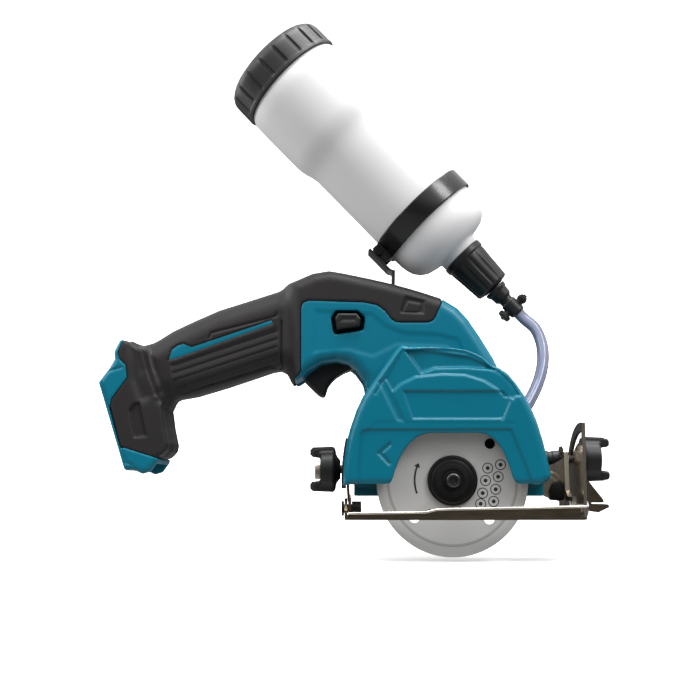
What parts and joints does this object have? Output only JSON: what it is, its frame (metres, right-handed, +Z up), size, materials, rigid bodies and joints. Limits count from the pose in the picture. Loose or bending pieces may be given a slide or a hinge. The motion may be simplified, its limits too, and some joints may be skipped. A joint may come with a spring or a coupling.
{
  "type": "cordless wet tile saw",
  "caption": "Hand-held battery wet saw for tile with a water bottle, hose, guarded diamond disc, tilting shoe and depth guide.",
  "frame": {"origin": "on the underside of the shoe, below the blade's axis, in the middle of the shoe's width", "axes": "+X forward along the cut, +Y from the blade side towards the motor, +Z up"},
  "size_m": [0.2976, 0.166, 0.3205],
  "materials": {
    "teal": "satin",
    "black_plastic": "matte",
    "black_rubber": "matte",
    "band_plastic": "gloss",
    "bottle": "satin",
    "hose": "clear",
    "dark_steel": "satin",
    "plated": "plated",
    "steel": "ground",
    "copper": "satin",
    "cast": "cast"
  },
  "bodies": {
    "housing": {"housing_right": "teal", "housing_left": "teal", "housing_screw_1": "steel", "housing_screw_2": "steel", "housing_screw_3": "steel", "grip_right": "black_rubber", "grip_left": "black_rubber", "foot_cover": "teal", "foot_block": "black_plastic", "terminal_block": "black_plastic", "gear_case": "cast", "gear_cover": "cast", "spindle_bearing_front": "steel", "spindle_bearing_rear": "steel", "motor_bearing_front": "steel", "motor_bearing_rear": "steel", "stator": "steel", "brush_gear": "black_plastic", "motor_case": "teal", "motor_end_cover": "teal", "blade_case": "teal", "clamp_bracket": "dark_steel", "water_nozzle": "black_plastic", "trigger_pin": "steel", "switch_unit": "black_plastic", "tank_bottle": "bottle", "tank_band": "band_plastic", "clamp_screw": "steel", "tank_stay": "dark_steel", "bottle_nut": "black_plastic", "valve_body": "black_plastic", "water_hose": "hose", "depth_pin": "steel"},
    "spindle_set": {"spindle": "steel", "spindle_gear": "steel", "inner_flange": "steel", "blade": "steel", "outer_flange": "dark_steel", "blade_bolt": "steel"},
    "idler_set": {"idler_pinion": "steel", "idler_gear": "steel"},
    "rotor": {"motor_shaft": "steel", "motor_pinion": "steel", "armature": "steel", "commutator": "copper", "fan": "black_plastic"},
    "trigger_set": {"trigger": "black_plastic"},
    "lock_off_set": {"lock_off_button": "black_plastic"},
    "shaft_lock_set": {"shaft_lock": "steel"},
    "cap_set": {"tank_cap": "black_plastic"},
    "valve_set": {"valve_lever": "black_plastic"},
    "depth_knob_set": {"depth_knob": "black_plastic"},
    "bevel_knob_set": {"bevel_knob": "black_plastic"},
    "depth_frame": {"front_bracket": "plated", "depth_guide": "plated", "front_rivet": "steel", "rear_rivet": "steel"},
    "shoe_set": {"shoe": "plated", "bevel_sector": "plated", "sight_plate": "plated"}
  },
  "joints": [
    {"name": "blade_spin", "type": "hinge", "parent": "housing", "child": "spindle_set", "pos_m": [0, -0.014, 0.0215], "axis": [0, 1, 0], "continuous": true},
    {"name": "idler_spin", "type": "hinge", "parent": "housing", "child": "idler_set", "pos_m": [0.00024, 0, 0.03775], "axis": [0, 1, 0], "continuous": true},
    {"name": "rotor_spin", "type": "hinge", "parent": "housing", "child": "rotor", "pos_m": [-0.006, 0, 0.0515], "axis": [0, 1, 0], "continuous": true},
    {"name": "trigger_pull", "type": "hinge", "parent": "housing", "child": "trigger_set", "pos_m": [-0.056, 0.024, 0.0926], "axis": [0, 1, 0], "range_deg": [0, 9], "stiffness_Nm_per_rad": 0.6, "springref_deg": -8.59},
    {"name": "lock_off_press", "type": "slide", "parent": "housing", "child": "lock_off_set", "axis": [0, 1, 0], "range_m": [0, 0.003], "stiffness_N_per_m": 300, "springref_m": -0.002},
    {"name": "shaft_lock_press", "type": "slide", "parent": "housing", "child": "shaft_lock_set", "axis": [0, -1, 0], "range_m": [0, 0.003], "stiffness_N_per_m": 300, "springref_m": -0.002},
    {"name": "cap_turn", "type": "hinge", "parent": "housing", "child": "cap_set", "pos_m": [-0.1048, 0.024, 0.2777], "axis": [0.6921, 0, -0.7218], "continuous": true},
    {"name": "valve_turn", "type": "hinge", "parent": "housing", "child": "valve_set", "pos_m": [0.04124, 0.024, 0.12541], "axis": [0.7218, 0, 0.6921], "range_deg": [0, 90]},
    {"name": "depth", "type": "hinge", "parent": "housing", "child": "depth_frame", "pos_m": [0.052, 0.024, 0.022], "axis": [0, -1, 0], "range_deg": [-2.8, 24]},
    {"name": "bevel", "type": "hinge", "parent": "depth_frame", "child": "shoe_set", "pos_m": [0, -0.014, 0.006], "axis": [-1, 0, 0], "range_deg": [0, 45]},
    {"name": "depth_knob_turn", "type": "hinge", "parent": "housing", "child": "depth_knob_set", "pos_m": [-0.063, 0.006, 0.028], "axis": [1, 0, 0], "continuous": true},
    {"name": "bevel_knob_turn", "type": "hinge", "parent": "depth_frame", "child": "bevel_knob_set", "pos_m": [0.0743, 0.014, 0.034], "axis": [1, 0, 0], "continuous": true}
  ],
  "couplings": [
    {"joint": "idler_spin", "follows": "blade_spin", "ratio": -2},
    {"joint": "rotor_spin", "follows": "blade_spin", "ratio": 6.6}
  ]
}
